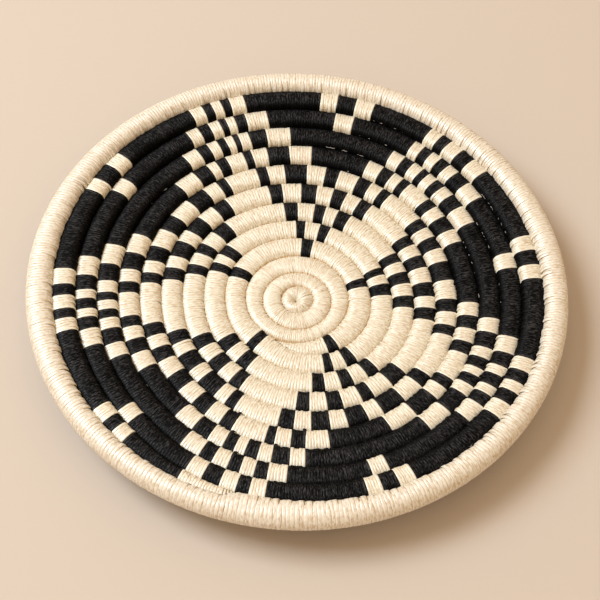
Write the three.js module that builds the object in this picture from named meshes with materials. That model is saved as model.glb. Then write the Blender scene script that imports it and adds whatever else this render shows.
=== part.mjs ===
// Shallow round coiled basket. A bundle of grass, wrapped tightly in thread, winds nine
// times round a small wrapped medallion, and a thicker wrapped rim closes the edge.
// Millimetres, +Z up, standing on z = 0 with its middle on the Z axis.
// Angles are in degrees, counter-clockwise from +X, and a coil's angle keeps growing
// from one turn to the next.
import * as THREE from 'three';

// Driving dimensions of the medallion in the middle
const KNOT_RADIUS = 9.1;
const KNOT_HEIGHT = 9.0;
const KNOT_CROWN_RADIUS = 5.0;
const KNOT_DIMPLE = 2.2;
const MEDALLION_ROUNDS = 2;
const MEDALLION_COIL_WIDTH = 9.35;
const MEDALLION_COIL_HEIGHT = 9.4;
const MEDALLION_FLOOR_CLEARANCE = 0.4;

// Driving dimensions of the main coil
const MAIN_ROUNDS = 9;
const MAIN_COIL_WIDTH = 11.7;
const MAIN_COIL_HEIGHT = 11.7;
const FOOT_CUT = 1.17;

// Driving dimensions of the rim
const RIM_WIDTH = 14.0;
const RIM_HEIGHT = 14.0;
const RIM_LIFT = 2.7;

// The dish rises outside the first round by this much at the middle of the last round,
// along a curve of this power
const DISH_RISE = 18.3;
const DISH_CURVE = 1.65;

// Made by hand, the coil isn't quite even. The rounds half way out lie further out by this
// much, because the inner rounds are a little wider than the outer ones.
const MIDDLE_SPREAD = 1.9;

// The outer rounds are also a little longer towards +Y and -Y than towards +X and -X. The
// extra radius grows between the first two radii, and fades from the third to the edge.
const OVAL_REACH = 2.2;
const OVAL_START_RADIUS = 50;
const OVAL_FULL_RADIUS = 100;
const OVAL_FADE_RADIUS = 120;

// The medallion sits this far off the middle, towards -Y, where its two rounds meet. The
// shift is less at the knot, and gone at the second radius.
const MEDALLION_SHIFT = 2.3;
const SHIFT_FULL_RADIUS = 19;
const SHIFT_END_RADIUS = 33;

// The thread round the bundles, and the clearances between pieces
const WRAP_THICKNESS = 1.0;
const CORE_CLEARANCE = 0.3;
const ROW_GAP = 0.45;
const END_GAP = 0.3;

// Where the coils step out by one round. Each climb starts this much earlier in each turn.
const MEDALLION_CLIMB = { startAngle: 285, sweepAngle: 60, leadAngle: 0 };
const MAIN_CLIMB = { startAngle: 230, sweepAngle: 80, leadAngle: 2 };

// One round's wrapping meets the next this far into the first climb
const MEDALLION_SEAM_ANGLE = MEDALLION_CLIMB.startAngle + 15;
const MAIN_SEAM_ANGLE = MAIN_CLIMB.startAngle + 10;
const RIM_SEAM_ANGLE = MAIN_CLIMB.startAngle + 17.5;

// The tail narrows from just before the last seam, and the coils end in thin tips
const TAIL_START_ANGLE = MAIN_SEAM_ANGLE - 2;
const TAIL_SWEEP_ANGLE = 26;
const TIP_HALF_WIDTH = 1.1;
const HOLLOW_HALF_WIDTH = 2.5;
const TIP_HEIGHT_POWER = 0.7;

// Facets
const COIL_STEP = 15;
const RIM_STEP = 7.5;
const COIL_SIDES = 8;
const BORE_SIDES = 6;
const RIM_SIDES = 12;
const KNOT_SEGMENTS = 24;
const KNOT_ARC_POINTS = 7;

const FULL_TURN = 360;
const SEARCH_STEP = 0.25;
const LEAST_TURN_GAP = 0.3;
const GAP_SAMPLES_PER_SIDE = 6;

const CREAM_THREAD = { color: 0xecdcbc, roughness: 0.55, metalness: 0 };
const BLACK_THREAD = { color: 0x1b1a1b, roughness: 0.6, metalness: 0 };
const GRASS_BUNDLE = { color: 0xc2a069, roughness: 0.85, metalness: 0 };
const FIRST_BLACK_ROUND = 6;

const radians = THREE.MathUtils.degToRad;
const smoothStep = (value) => THREE.MathUtils.smoothstep(value, 0, 1);

const medallionInside = KNOT_RADIUS + ROW_GAP / 2;
const medallionOutside = medallionInside + MEDALLION_ROUNDS * (MEDALLION_COIL_WIDTH + ROW_GAP);
const mainOutside = medallionOutside + MAIN_ROUNDS * (MAIN_COIL_WIDTH + ROW_GAP);
const outerRadius = mainOutside + ROW_GAP / 2 + RIM_WIDTH;

const flatRadius = medallionOutside + MAIN_COIL_WIDTH + ROW_GAP;
const lastRoundRadius = mainOutside - (MAIN_COIL_WIDTH + ROW_GAP) / 2;
const mainFloorHeight = MAIN_COIL_HEIGHT / 2 - FOOT_CUT;

// Height of the coil's middle above the table at a radius
function dishHeight(radius) {
  const along = Math.max(0, radius - flatRadius) / (lastRoundRadius - flatRadius);
  return mainFloorHeight + DISH_RISE * along ** DISH_CURVE;
}

// A coil that steps out by one round in one stretch of every turn, and starts and ends
// in a thin tip
class SpiralCoil {
  constructor({ innerRadius, rounds, width, height, climb, middleHeight, tail }) {
    Object.assign(this, { innerRadius, rounds, width, height, climb, middleHeight, tail });
    this.pitch = width + ROW_GAP;
  }

  // Radius of the line between this turn and what lies inside it
  insideLine(angle) {
    let radius = this.innerRadius;
    for (let turn = 0; turn < this.rounds; turn += 1) {
      const start = this.climb.startAngle + turn * (FULL_TURN - this.climb.leadAngle);
      radius += this.pitch * smoothStep((angle - start) / this.climb.sweepAngle);
    }
    return radius;
  }

  // Radius of the line between this turn and what lies outside it
  outsideLine(angle) {
    const inside = this.insideLine(angle);
    const outside = this.insideLine(angle + FULL_TURN);
    if (!this.tail) {
      return outside;
    }
    const faded = smoothStep((angle - this.tail.startAngle) / this.tail.sweepAngle);
    return inside + (outside - inside) * (1 - faded);
  }

  halfWidth(angle) {
    return (this.outsideLine(angle) - this.insideLine(angle) - ROW_GAP) / 2;
  }

  section(angle) {
    const halfWidth = this.halfWidth(angle);
    const share = Math.min(1, halfWidth / (this.width / 2));
    const radius = (this.insideLine(angle) + this.outsideLine(angle)) / 2;
    return {
      angle,
      radius,
      height: this.middleHeight(radius),
      halfWidth,
      halfHeight: (this.height / 2) * share ** TIP_HEIGHT_POWER,
    };
  }

  // The first angle, walking from one place in one direction, where the coil is this wide
  angleWhereWide(halfWidth, from, direction) {
    let angle = from;
    while (this.halfWidth(angle) < halfWidth) {
      angle += direction * SEARCH_STEP;
    }
    return angle;
  }
}

const medallionCoil = new SpiralCoil({
  innerRadius: medallionInside,
  rounds: MEDALLION_ROUNDS,
  width: MEDALLION_COIL_WIDTH,
  height: MEDALLION_COIL_HEIGHT,
  climb: MEDALLION_CLIMB,
  middleHeight: () => MEDALLION_COIL_HEIGHT / 2 + MEDALLION_FLOOR_CLEARANCE,
});

const lastMainTurn = (MAIN_ROUNDS - 1) * FULL_TURN;
const mainCoil = new SpiralCoil({
  innerRadius: medallionOutside,
  rounds: MAIN_ROUNDS,
  width: MAIN_COIL_WIDTH,
  height: MAIN_COIL_HEIGHT,
  climb: MAIN_CLIMB,
  middleHeight: dishHeight,
  tail: { startAngle: lastMainTurn + TAIL_START_ANGLE, sweepAngle: TAIL_SWEEP_ANGLE },
});

// Where each coil's thin tips start and where it is wide enough to be hollow
function coilEnds(coil, firstGuess, lastGuess) {
  return {
    firstTip: coil.angleWhereWide(TIP_HALF_WIDTH, firstGuess, 1),
    firstHollow: coil.angleWhereWide(HOLLOW_HALF_WIDTH, firstGuess, 1),
    lastHollow: coil.angleWhereWide(HOLLOW_HALF_WIDTH, lastGuess, -1),
    lastTip: coil.angleWhereWide(TIP_HALF_WIDTH, lastGuess, -1),
  };
}

const medallionLastAngle = MEDALLION_CLIMB.startAngle + MEDALLION_CLIMB.sweepAngle
  + (MEDALLION_ROUNDS - 1) * (FULL_TURN - MEDALLION_CLIMB.leadAngle);
const medallionFirstAngle = MEDALLION_CLIMB.startAngle - FULL_TURN;
const medallionEnds = coilEnds(medallionCoil, medallionFirstAngle, medallionLastAngle);
const tailEndAngle = TAIL_START_ANGLE + TAIL_SWEEP_ANGLE;
const mainFirstAngle = MAIN_CLIMB.startAngle - FULL_TURN;
const mainEnds = coilEnds(mainCoil, mainFirstAngle, lastMainTurn + tailEndAngle);

// The rim fills the space from the outermost coil to the outer radius
function rimSection(angle) {
  const place = THREE.MathUtils.euclideanModulo(angle, FULL_TURN);
  const turns = place <= tailEndAngle ? lastMainTurn : lastMainTurn - FULL_TURN;
  const inside = mainCoil.outsideLine(place + turns) + ROW_GAP / 2;
  return {
    angle,
    radius: (inside + outerRadius) / 2,
    height: dishHeight(lastRoundRadius) + RIM_LIFT,
    halfWidth: (outerRadius - inside) / 2,
    halfHeight: RIM_HEIGHT / 2,
  };
}

// Section shrunk by a wall on every side, and flattened this far above the table
function shrunk(section, wall, floor) {
  return {
    ...section,
    halfWidth: section.halfWidth - wall,
    halfHeight: section.halfHeight - wall,
    floor,
  };
}

// Corners of a rounded section in its own plane, as radius and height, counter-clockwise,
// with a flat side below. What would reach below the section's floor is cut off flat.
function sectionCorners(section, sides) {
  const floor = section.floor ?? 0;
  const corners = [];
  const reach = 1 / Math.cos(Math.PI / sides);
  for (let side = 0; side < sides; side += 1) {
    const turn = ((side + 0.5) * 2 * Math.PI) / sides - Math.PI / 2;
    corners.push(new THREE.Vector2(
      section.radius + section.halfWidth * reach * Math.cos(turn),
      section.height + section.halfHeight * reach * Math.sin(turn),
    ));
  }
  return corners.map((corner, index) => {
    if (corner.y >= floor) {
      return corner;
    }
    const before = corners[(index + sides - 1) % sides];
    const after = corners[(index + 1) % sides];
    const above = before.y > after.y ? before : after;
    const share = (above.y - floor) / (above.y - corner.y);
    return above.clone().lerp(corner, share).setY(floor);
  });
}

// How far the medallion's parts at a radius are moved towards -Y
function medallionShift(radius) {
  const rising = THREE.MathUtils.smoothstep(radius, 0, SHIFT_FULL_RADIUS);
  const falling = 1 - THREE.MathUtils.smoothstep(radius, SHIFT_FULL_RADIUS, SHIFT_END_RADIUS);
  return MEDALLION_SHIFT * rising * falling;
}

// A radius with the coil's unevenness added, which is none at the outer edge
function handmadeRadius(radius, turn) {
  const outwards = (radius - KNOT_RADIUS) / (outerRadius - KNOT_RADIUS);
  const spread = MIDDLE_SPREAD * Math.sin(Math.PI * THREE.MathUtils.clamp(outwards, 0, 1));
  const growing = THREE.MathUtils.smoothstep(radius, OVAL_START_RADIUS, OVAL_FULL_RADIUS);
  const fading = (outerRadius - radius) / (outerRadius - OVAL_FADE_RADIUS);
  const oval = OVAL_REACH * Math.max(0, Math.min(growing, fading)) * Math.sin(turn) ** 2;
  return radius + spread + oval - medallionShift(radius) * Math.sin(turn);
}

function placeCorner(corner, angle) {
  const turn = radians(angle);
  const radius = handmadeRadius(corner.x, turn);
  return new THREE.Vector3(radius * Math.cos(turn), radius * Math.sin(turn), corner.y);
}

// Angles of the sections between two ends: the whole steps, and some extra ones
function stations(from, to, step, extra = []) {
  const margin = step / 8;
  const angles = [from, to];
  for (let angle = Math.ceil(from / step) * step; angle < to; angle += step) {
    angles.push(angle);
  }
  angles.push(...extra);
  const kept = angles.filter((angle) => angle >= from && angle <= to).sort((a, b) => a - b);
  return kept.filter((angle, index) => {
    const isEnd = index === 0 || index === kept.length - 1;
    const isExtra = extra.includes(angle);
    const clearOfEnds = angle - from > margin && to - angle > margin;
    const clearOfExtra = extra.every((other) => Math.abs(other - angle) > margin);
    return isEnd || isExtra || (clearOfEnds && clearOfExtra);
  });
}

// Triangles of a swept body, collected loop by loop
class SweptBody {
  constructor() {
    this.positions = [];
    this.indices = [];
  }

  addLoop(corners, angle) {
    const first = this.positions.length / 3;
    for (const corner of corners) {
      this.positions.push(...placeCorner(corner, angle).toArray());
    }
    return corners.map((corner, index) => first + index);
  }

  // Loops through the sections' corners, joined into a wall that faces out or in
  addWall(sections, cornersOf, facingOut) {
    const outlines = sections.map(cornersOf);
    const loops = outlines.map((corners, index) => this.addLoop(corners, sections[index].angle));
    for (let index = 1; index < loops.length; index += 1) {
      this.joinLoops(loops[index - 1], loops[index], facingOut);
    }
    return { outlines, loops };
  }

  joinLoops(loop, next, facingOut) {
    for (let side = 0; side < loop.length; side += 1) {
      const other = (side + 1) % loop.length;
      const [a, b, c, d] = [loop[side], loop[other], next[other], next[side]];
      if (facingOut) {
        this.indices.push(a, d, c, a, c, b);
      } else {
        this.indices.push(a, c, d, a, b, c);
      }
    }
  }

  // A flat end, solid or with a bore through it, facing back along the sweep or forward
  addEnd(corners, loop, facingBack, boreCorners = [], boreLoop = []) {
    const holes = boreCorners.length > 0 ? [boreCorners] : [];
    const all = [...loop, ...boreLoop];
    for (const [a, b, c] of THREE.ShapeUtils.triangulateShape(corners, holes)) {
      if (facingBack) {
        this.indices.push(all[a], all[b], all[c]);
      } else {
        this.indices.push(all[a], all[c], all[b]);
      }
    }
  }

  toGeometry() {
    const geometry = new THREE.BufferGeometry();
    geometry.setAttribute('position', new THREE.Float32BufferAttribute(this.positions, 3));
    geometry.setIndex(this.indices);
    geometry.computeVertexNormals();
    return geometry;
  }
}

// A solid bundle swept through its sections, with two flat ends or closed into a ring
function bundleGeometry(sections, sides, isRing = false) {
  const body = new SweptBody();
  const cornersOf = (section) => sectionCorners(section, sides);
  const { outlines, loops } = body.addWall(sections, cornersOf, true);
  if (isRing) {
    body.joinLoops(loops.at(-1), loops[0], true);
  } else {
    body.addEnd(outlines[0], loops[0], true);
    body.addEnd(outlines.at(-1), loops.at(-1), false);
  }
  return body.toGeometry();
}

// A sleeve of wound thread: hollow between two of its sections, solid in a thin tip
function sleeveGeometry(sections, sides, hollowFrom, hollowTo) {
  const body = new SweptBody();
  const cornersOf = (section) => sectionCorners(section, sides);
  const { outlines, loops } = body.addWall(sections, cornersOf, true);
  const hollow = sections.filter(({ angle }) => angle >= hollowFrom && angle <= hollowTo);
  const boreCornersOf = (section) => sectionCorners(boreSection(section), BORE_SIDES);
  const { outlines: bores, loops: boreLoops } = body.addWall(hollow, boreCornersOf, false);
  if (hollow[0] === sections[0]) {
    body.addEnd(outlines[0], loops[0], true, bores[0], boreLoops[0]);
  } else {
    body.addEnd(outlines[0], loops[0], true);
    body.addEnd(bores[0], boreLoops[0], false);
  }
  if (hollow.at(-1) === sections.at(-1)) {
    body.addEnd(outlines.at(-1), loops.at(-1), false, bores.at(-1), boreLoops.at(-1));
  } else {
    body.addEnd(outlines.at(-1), loops.at(-1), false);
    body.addEnd(bores.at(-1), boreLoops.at(-1), true);
  }
  return body.toGeometry();
}

// The bore's corners stand one wrap thickness inside the sleeve
function boreWall(section) {
  const cornerReach = section.halfWidth - WRAP_THICKNESS;
  return section.halfWidth - cornerReach * Math.cos(Math.PI / BORE_SIDES);
}

function boreSection(section) {
  return shrunk(section, boreWall(section), WRAP_THICKNESS);
}

function coreSection(section) {
  return shrunk(section, boreWall(section) + CORE_CLEARANCE, WRAP_THICKNESS + CORE_CLEARANCE);
}

const group = new THREE.Group();

function addPiece(name, geometry, finish) {
  const mesh = new THREE.Mesh(geometry, new THREE.MeshStandardMaterial(finish));
  mesh.name = name;
  group.add(mesh);
}

// Half of an end gap, as an angle at a radius
function gapAngle(gap, radius) {
  return THREE.MathUtils.radToDeg(gap / 2 / radius);
}

// The knot that the basket is started from: a wrapped bun with a dimple on both faces
function addCentreKnot() {
  const middle = MEDALLION_COIL_HEIGHT / 2 + MEDALLION_FLOOR_CLEARANCE;
  const halfHeight = KNOT_HEIGHT / 2;
  const profile = [new THREE.Vector2(0, middle - halfHeight + KNOT_DIMPLE)];
  for (let point = 0; point < KNOT_ARC_POINTS; point += 1) {
    const turn = radians(-90 + (180 * point) / (KNOT_ARC_POINTS - 1));
    profile.push(new THREE.Vector2(
      KNOT_CROWN_RADIUS + (KNOT_RADIUS - KNOT_CROWN_RADIUS) * Math.cos(turn),
      middle + halfHeight * Math.sin(turn),
    ));
  }
  profile.push(new THREE.Vector2(0, middle + halfHeight - KNOT_DIMPLE));
  const geometry = new THREE.LatheGeometry(profile, KNOT_SEGMENTS);
  geometry.rotateX(Math.PI / 2);
  geometry.translate(0, -medallionShift(KNOT_RADIUS), 0);
  addPiece('centre_knot', geometry, CREAM_THREAD);
}

// The grass bundle inside a coil is one unbroken tube from tip to tip
function addCore(name, coil, ends) {
  const from = ends.firstHollow + 2 * gapAngle(END_GAP, coil.section(ends.firstHollow).radius);
  const to = ends.lastHollow - 2 * gapAngle(END_GAP, coil.section(ends.lastHollow).radius);
  const sections = stations(from, to, COIL_STEP).map((angle) => coreSection(coil.section(angle)));
  addPiece(name, bundleGeometry(sections, BORE_SIDES), GRASS_BUNDLE);
}

// One stretch of thread round a coil's bundle. Its ends meet the next stretches.
function addWrap(name, coil, ends, from, to, finish) {
  const startsAtTip = from <= ends.firstTip;
  const endsAtTip = to >= ends.lastTip;
  const start = startsAtTip ? ends.firstTip : from + gapAngle(END_GAP, coil.section(from).radius);
  const end = endsAtTip ? ends.lastTip : to - gapAngle(END_GAP, coil.section(to).radius);
  const hollowFrom = Math.max(start, ends.firstHollow);
  const hollowTo = Math.min(end, ends.lastHollow);
  const angles = stations(start, end, COIL_STEP, [ends.firstHollow, ends.lastHollow]);
  const sections = angles.map((angle) => coil.section(angle));
  addPiece(name, sleeveGeometry(sections, COIL_SIDES, hollowFrom, hollowTo), finish);
}

function addMedallion() {
  addCentreKnot();
  addCore('medallion_core', medallionCoil, medallionEnds);
  for (let round = 1; round <= MEDALLION_ROUNDS; round += 1) {
    const seam = MEDALLION_SEAM_ANGLE + (round - 1) * FULL_TURN;
    const from = round === 1 ? -Infinity : seam - FULL_TURN;
    const to = round === MEDALLION_ROUNDS ? Infinity : seam;
    const name = `medallion_round_${round}_wrap`;
    addWrap(name, medallionCoil, medallionEnds, from, to, CREAM_THREAD);
  }
}

function addMainCoil() {
  addCore('foundation_core', mainCoil, mainEnds);
  for (let round = 1; round <= MAIN_ROUNDS; round += 1) {
    const to = MAIN_SEAM_ANGLE + (round - 1) * FULL_TURN;
    const from = round === 1 ? -Infinity : to - FULL_TURN;
    const finish = round < FIRST_BLACK_ROUND ? CREAM_THREAD : BLACK_THREAD;
    addWrap(`round_${round}_wrap`, mainCoil, mainEnds, from, to, finish);
  }
  const lastSeam = MAIN_SEAM_ANGLE + lastMainTurn;
  addWrap('tail_wrap', mainCoil, mainEnds, lastSeam, Infinity, CREAM_THREAD);
}

function addRim() {
  const tailStations = [mainEnds.lastHollow - lastMainTurn, mainEnds.lastTip - lastMainTurn];
  const ringAngles = stations(0, FULL_TURN, RIM_STEP, tailStations).slice(0, -1);
  const ring = ringAngles.map((angle) => coreSection(rimSection(angle)));
  addPiece('rim_core', bundleGeometry(ring, BORE_SIDES, true), GRASS_BUNDLE);

  const seamGap = gapAngle(END_GAP, outerRadius);
  const from = RIM_SEAM_ANGLE + seamGap - FULL_TURN;
  const to = RIM_SEAM_ANGLE - seamGap;
  const extra = tailStations.flatMap((angle) => [angle - FULL_TURN, angle]);
  const sections = stations(from, to, RIM_STEP, extra).map(rimSection);
  addPiece('rim_wrap', sleeveGeometry(sections, RIM_SIDES, from, to), CREAM_THREAD);
}

// Points along the sides of a section
function sidePoints(section) {
  const corners = sectionCorners(section, COIL_SIDES);
  return corners.flatMap((corner, index) => {
    const next = corners[(index + 1) % corners.length];
    const points = [];
    for (let sample = 0; sample < GAP_SAMPLES_PER_SIDE; sample += 1) {
      const point = corner.clone().lerp(next, sample / GAP_SAMPLES_PER_SIDE);
      points.push(placeCorner(point, section.angle));
    }
    return points;
  });
}

// Least distance between one turn of a coil and the next, measured on points
function leastTurnGap(coil, ends) {
  let least = Infinity;
  for (const angle of stations(ends.firstTip, ends.lastTip - FULL_TURN, COIL_STEP)) {
    const inner = sidePoints(coil.section(angle));
    const outer = sidePoints(coil.section(angle + FULL_TURN));
    for (const point of inner) {
      for (const other of outer) {
        least = Math.min(least, point.distanceTo(other));
      }
    }
  }
  return least * Math.cos(radians(COIL_STEP / 2));
}

addMedallion();
addMainCoil();
addRim();

for (const [name, coil, ends] of [
  ['medallion coil', medallionCoil, medallionEnds],
  ['main coil', mainCoil, mainEnds],
]) {
  const gap = leastTurnGap(coil, ends);
  const verdict = gap > LEAST_TURN_GAP ? 'clear' : 'too close';
  console.log(`${name}: least gap between turns ${gap.toFixed(2)} mm, ${verdict}`);
}
console.log(`outside diameter ${(2 * outerRadius).toFixed(1)} mm`);

export default group;
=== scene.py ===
"""Shallow round coiled basket, wrapped in cream and black thread with a five-armed stepped star.

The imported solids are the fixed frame. Each round of the coil is dressed with its own turns of
thread, and the camera, floor and light follow the photograph.
"""

import logging
import math
from dataclasses import dataclass, field
from enum import Enum

import bpy
import numpy as np
from bpy.types import ID, Material, Mesh, Node, NodeSocket, NodeTree, Object
from mathutils import Matrix, Vector

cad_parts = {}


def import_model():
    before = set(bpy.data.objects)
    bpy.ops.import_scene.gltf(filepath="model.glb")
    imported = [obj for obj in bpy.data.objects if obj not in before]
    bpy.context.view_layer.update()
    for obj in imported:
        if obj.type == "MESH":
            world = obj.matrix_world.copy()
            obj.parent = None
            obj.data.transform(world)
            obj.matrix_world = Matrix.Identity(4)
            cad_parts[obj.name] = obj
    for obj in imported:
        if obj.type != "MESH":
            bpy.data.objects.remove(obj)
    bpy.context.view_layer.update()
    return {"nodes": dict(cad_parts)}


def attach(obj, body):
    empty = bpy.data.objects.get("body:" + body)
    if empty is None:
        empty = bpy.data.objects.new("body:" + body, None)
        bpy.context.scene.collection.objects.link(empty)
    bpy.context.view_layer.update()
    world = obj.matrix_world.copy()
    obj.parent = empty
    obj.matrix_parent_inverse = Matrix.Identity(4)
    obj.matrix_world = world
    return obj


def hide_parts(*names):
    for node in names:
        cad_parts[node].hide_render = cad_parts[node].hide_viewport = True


log = logging.getLogger("basket")

BODY = "root"
FULL_TURN = 360.0
MM = 0.001
SOCKET = "NodeSocket"
LEAST_LOOP = 0.35 * MM
SPAN_STEP = 0.25
PATH_STEP = 0.1

Array = np.ndarray
Colour = tuple[float, float, float]


class Thread(Enum):
    """The two threads that the coil is wrapped in."""

    CREAM = "cream"
    BLACK = "black"


# Where the thread is black, turn by turn of the main coil: pairs of degrees, from and to,
# counter-clockwise from +X. Read off strips of the photograph, unrolled along the coil.
BLACK_STRETCHES: tuple[tuple[float, ...], ...] = (
    (-60.9, -52.5, 13, 21.7, 78.8, 88.8, 153.4, 163.4, 231, 239.2, 290.6, 296.3, 304.3, 311.2),
    (4.1, 13, 20, 25.9, 70.6, 77.5, 87.4, 93.6, 141.9, 150.2, 157, 163.8, 217.8, 226.6,
     235.3, 243.1, 280.6, 287.2, 295.1, 301.6, 309.1, 315.4),
    (-4.1, 3.1, 10.8, 18.1, 24.9, 30.8, 63.4, 70.5, 77.3, 83.4, 92.6, 100, 133.1, 141.6,
     150.2, 156.6, 164.1, 170.3, 209.8, 217, 225.1, 232.6, 239.8, 245.8, 272.3, 277.9,
     285.3, 291.8, 299.8, 305, 314.1, 321.7),
    (-10.1, -3.9, 2.2, 9.5, 17.6, 24.1, 30.4, 35.9, 57.9, 63.4, 70.3, 76.4, 83.8, 91,
     99.8, 105.9, 125.8, 132.8, 140.6, 148.9, 155.3, 163.8, 170, 176.4, 203.8, 210,
     215.9, 224.1, 230, 238.9, 244.1, 248.4, 265.6, 271.3, 277.5, 284.3, 290.4, 297.8,
     303.4, 312.5, 320.6, 325.6),
    (-15.8, -11.4, -5.5, 0.3, 8.9, 17.5, 23.8, 29.4, 34.4, 39.1, 54.5, 58.3, 63.3, 68.6,
     76.4, 81.7, 89.1, 97.9, 104.8, 108.8, 121.3, 125.1, 130.9, 138.8, 147.5, 154.7,
     162.8, 169.7, 175.2, 179.9, 198.3, 203.9, 209.3, 215, 221.9, 228.4, 235, 240.9,
     246.6, 251.1, 262.3, 265.3, 270.4, 275, 282.4, 301.8, 311.1, 319.7, 324.2, 328),
    (-21.6, -17, -12, -6.9, -1.6, 23, 28.4, 34.3, 39.1, 42.9, 51.4, 54.6, 58.3, 62.6,
     68, 88, 95.8, 103.4, 108.8, 111.7, 117.7, 121.4, 124.7, 130.2, 137.5, 161.4,
     169.1, 175.9, 180.9, 185.2, 194.7, 198.8, 203.8, 209.1, 215.3, 234.4, 240.9, 246.3,
     251.1, 254.5, 257.6, 261.3, 265.2, 270.3, 274.5, 310.6, 318.1, 325, 328.6, 332,
     334.7, 338.4),
    (-18, -12.6, -7.6, 27.2, 33.9, 38.8, 42.7, 45.9, 49, 51.4, 55, 58.4, 62.5, 95.2,
     102.7, 108.1, 111.3, 113.1, 115.6, 118.1, 121.3, 125, 129.7, 168.8, 175.8, 181.9,
     186.1, 188.9, 192.1, 195.2, 198.9, 204.1, 208.8, 241.3, 246.9, 250.6, 254.7, 258,
     261.6, 264.9, 269.7, 290.5, 294.8, 318.8, 324.2, 327.8, 330.6, 334.2, 337.1, 341.4),
    (-13.4, 8.4, 13.3, 32.9, 38.6, 43.1, 46.4, 49.5, 52.5, 55.4, 58.5, 77, 82.3, 101.6,
     107.7, 110.9, 113.3, 115.3, 118.4, 121.6, 125, 147.9, 152.6, 175.3, 181.4, 186.1,
     188.9, 192.2, 194.8, 198.6, 203.8, 223.9, 228.1, 246.4, 250.5, 254.7, 258.6, 261.6,
     265.2, 287.7, 291.1, 295, 298.9, 323.3, 327.5, 330.9, 333.8, 337.1),
    (-19.1, 3.9, 8, 12.3, 16.6, 38.1, 42.7, 46.6, 50.5, 53.4, 56.7, 72.8, 77.6, 82.5,
     86.9, 107, 110.8, 113.1, 115.6, 118, 121.4, 143.3, 147.7, 152.6, 156.4, 180.8,
     185.3, 188.6, 192.4, 195.2, 198.8, 220.9, 224.7, 227.7, 231.1, 245.9),
)

# Black stitches that reach further over the round inside: turn of the coil, degrees
LONG_STITCHES: tuple[tuple[int, float], ...] = (
    (6, 7.8), (5, 254.0), (6, 250.0), (6, 264.0), (7, 254.0), (5, 278.0), (8, 317.6), (7, 332.7),
    (8, 333.9), (6, 104.9),
)

# Loose ends of cream thread that lie in the joint outside a turn: turn, degrees from and to
LOOSE_ENDS: tuple[tuple[int, float, float], ...] = (
    (6, 0.4, 1.8), (6, 9.4, 9.9), (6, 13.6, 14.1), (6, 16.8, 17.2), (6, 20.0, 20.5),
    (6, 22.0, 22.4), (6, 70.4, 72.6), (6, 76.0, 78.0), (6, 80.5, 83.5),
    (7, -2.1, -1.7), (7, 4.0, 4.4), (7, 8.1, 9.4), (7, 16.4, 17.9), (7, 19.6, 20.1),
    (7, 21.1, 23.4), (7, 25.6, 27.1), (7, 65.2, 66.0), (7, 70.8, 71.6), (7, 73.9, 74.7),
    (8, 2.0, 2.4), (8, 3.5, 3.9), (8, 19.6, 20.1), (8, 22.0, 22.9), (8, 24.4, 24.8),
    (8, 26.2, 28.9), (8, 29.4, 33.5), (8, 60.5, 63.3), (8, 65.1, 67.0), (8, 69.2, 72.6),
    (6, 141.0, 142.0), (6, 148.5, 149.4), (6, 220.6, 221.8), (8, 313.1, 313.7), (5, 73.3, 73.9),
)


def smooth_step(value: Array) -> Array:
    """Ease from 0 to 1 as the value goes from 0 to 1."""
    held = np.clip(value, 0.0, 1.0)
    return held * held * (3.0 - 2.0 * held)


def ramp(value: Array, start: float, end: float) -> Array:
    """How far the value has come from start, at 0, to end, at 1, and on beyond both."""
    return (value - start) / (end - start)


def on_circle(radius: Array, turn: Array, height: Array | float) -> Array:
    """Points, one row each, at these radii, angles in degrees and heights."""
    angle = np.radians(turn)
    return np.stack(
        np.broadcast_arrays(radius * np.cos(angle), radius * np.sin(angle), height), axis=-1
    )


def linked(name: str, data: ID) -> Object:
    """Make an object and link it to the scene.

    Args:
        name: Name of the object.
        data: Its mesh, lamp or camera.

    Returns:
        The object.
    """
    made = bpy.data.objects.new(name, data)
    bpy.context.scene.collection.objects.link(made)
    return made


def store(mesh: Mesh, label: str, values: Array | list[float]) -> None:
    """Keep one number for each point of a mesh."""
    layer = mesh.attributes.new(label, "FLOAT", "POINT")
    layer.data.foreach_set("value", np.asarray(values, np.float32))


@dataclass(frozen=True)
class Loops:
    """Places and sizes of a row of thread loops, one entry of each array per loop."""

    centres: Array
    yaw: Array
    half_width: Array
    half_height: Array
    length: Array
    hole: Array
    bright: Array
    joint: Array

    def chosen(self, keep: Array) -> "Loops":
        """Only the loops for which keep is true."""
        return Loops(*(getattr(self, name)[keep] for name in self.__dataclass_fields__))


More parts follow.
